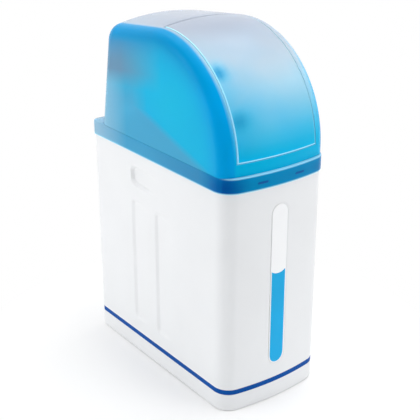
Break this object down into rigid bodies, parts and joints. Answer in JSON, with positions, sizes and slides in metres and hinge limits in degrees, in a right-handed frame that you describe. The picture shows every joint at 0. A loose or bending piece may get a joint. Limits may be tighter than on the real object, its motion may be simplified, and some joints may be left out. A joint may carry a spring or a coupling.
{
  "type": "water softener",
  "caption": "Cabinet water softener: white bowed brine cabinet, frosted blue hood with a hinged salt lid, resin tank, control head, brine well and rear bypass",
  "frame": {"origin": "middle of the cabinet's footprint, on the floor", "axes": "front -Y, right +X seen from the front, up +Z"},
  "size_m": [0.265, 0.529, 0.7789],
  "materials": {
    "cabinet_white": "fine satin grain",
    "band_navy": "smooth",
    "label_white": "smooth",
    "label_blue": "smooth",
    "frosted_blue": "frosted translucent",
    "catch_navy": "smooth",
    "pin_steel": "drawn",
    "tank_blue": "wound shell with a clear coat",
    "black_plastic": "moulded",
    "dark_grey": "fine moulded grain",
    "mid_grey": "moulded",
    "white_plastic": "extruded",
    "gear_ivory": "moulded",
    "resin_amber": "beads",
    "seal_rubber": "smooth",
    "window_dark": "polished",
    "board_green": "lacquered",
    "knob_red": "smooth",
    "float_orange": "smooth",
    "line_clear": "milky"
  },
  "bodies": {
    "softener": {"cabinet": "cabinet_white", "base_band": "band_navy", "label_plate": "label_white", "label_inlay": "label_blue", "resin_tank": "tank_blue", "tank_boot": "black_plastic", "resin_bed": "resin_amber", "riser_tube": "white_plastic", "lower_basket": "mid_grey", "upper_basket": "mid_grey", "valve_body": "black_plastic", "neck_seal": "seal_rubber", "drive_motor": "pin_steel", "motor_mount": "mid_grey", "head_base": "dark_grey", "head_cover": "dark_grey", "display_window": "window_dark", "circuit_board": "board_green", "power_inlet": "black_plastic", "head_screws": "pin_steel", "brine_well": "white_plastic", "brine_valve": "black_plastic", "pickup_tube": "white_plastic", "air_check": "mid_grey", "brine_elbow": "mid_grey", "brine_line": "line_clear", "salt_platform": "mid_grey", "bypass_body": "black_plastic", "drain_barb": "mid_grey", "overflow_elbow": "black_plastic", "overflow_nut": "black_plastic", "overflow_seal": "seal_rubber"},
    "cover": {"top_cover": "frosted_blue", "cover_catches": "catch_navy", "hinge_pins": "pin_steel"},
    "lid": {"salt_lid": "frosted_blue"},
    "drive": {"valve_rotor": "mid_grey", "drive_gear": "gear_ivory"},
    "pinion": {"motor_pinion": "gear_ivory"},
    "left_button": {"button_left": "mid_grey"},
    "up_button": {"button_up": "mid_grey"},
    "down_button": {"button_down": "mid_grey"},
    "right_button": {"button_right": "mid_grey"},
    "cap": {"well_cap": "catch_navy"},
    "float": {"float_rod": "white_plastic", "brine_float": "float_orange"},
    "inlet_valve": {"inlet_knob": "knob_red"},
    "outlet_valve": {"outlet_knob": "knob_red"}
  },
  "joints": [
    {"name": "cover_lift", "type": "slide", "parent": "softener", "child": "cover", "axis": [0, 0, 1], "range_m": [0, 0.25]},
    {"name": "lid_hinge", "type": "hinge", "parent": "cover", "child": "lid", "pos_m": [0, 0.03334, 0.761], "axis": [-1, 0, 0], "range_deg": [0, 118]},
    {"name": "drive_spin", "type": "hinge", "parent": "softener", "child": "drive", "pos_m": [0, 0.1305, 0.6], "axis": [0, 0, 1], "continuous": true},
    {"name": "pinion_spin", "type": "hinge", "parent": "softener", "child": "pinion", "pos_m": [0.045, 0.1305, 0.6], "axis": [0, 0, 1], "continuous": true},
    {"name": "left_press", "type": "slide", "parent": "softener", "child": "left_button", "axis": [0, 0.9563, -0.2924], "range_m": [0, 0.0012], "stiffness_N_per_m": 1500},
    {"name": "up_press", "type": "slide", "parent": "softener", "child": "up_button", "axis": [0, 0.9563, -0.2924], "range_m": [0, 0.0012], "stiffness_N_per_m": 1500},
    {"name": "down_press", "type": "slide", "parent": "softener", "child": "down_button", "axis": [0, 0.9563, -0.2924], "range_m": [0, 0.0012], "stiffness_N_per_m": 1500},
    {"name": "right_press", "type": "slide", "parent": "softener", "child": "right_button", "axis": [0, 0.9563, -0.2924], "range_m": [0, 0.0012], "stiffness_N_per_m": 1500},
    {"name": "cap_lift", "type": "slide", "parent": "softener", "child": "cap", "axis": [0, 0, 1], "range_m": [0, 0.06]},
    {"name": "float_travel", "type": "slide", "parent": "softener", "child": "float", "axis": [0, 0, 1], "range_m": [0, 0.012]},
    {"name": "inlet_turn", "type": "hinge", "parent": "softener", "child": "inlet_valve", "pos_m": [-0.042, 0.245, 0.6], "axis": [0, 0, 1], "range_deg": [0, 90]},
    {"name": "outlet_turn", "type": "hinge", "parent": "softener", "child": "outlet_valve", "pos_m": [0.042, 0.245, 0.6], "axis": [0, 0, 1], "range_deg": [0, 90]}
  ],
  "couplings": [
    {"joint": "pinion_spin", "follows": "drive_spin", "ratio": -2.75}
  ]
}
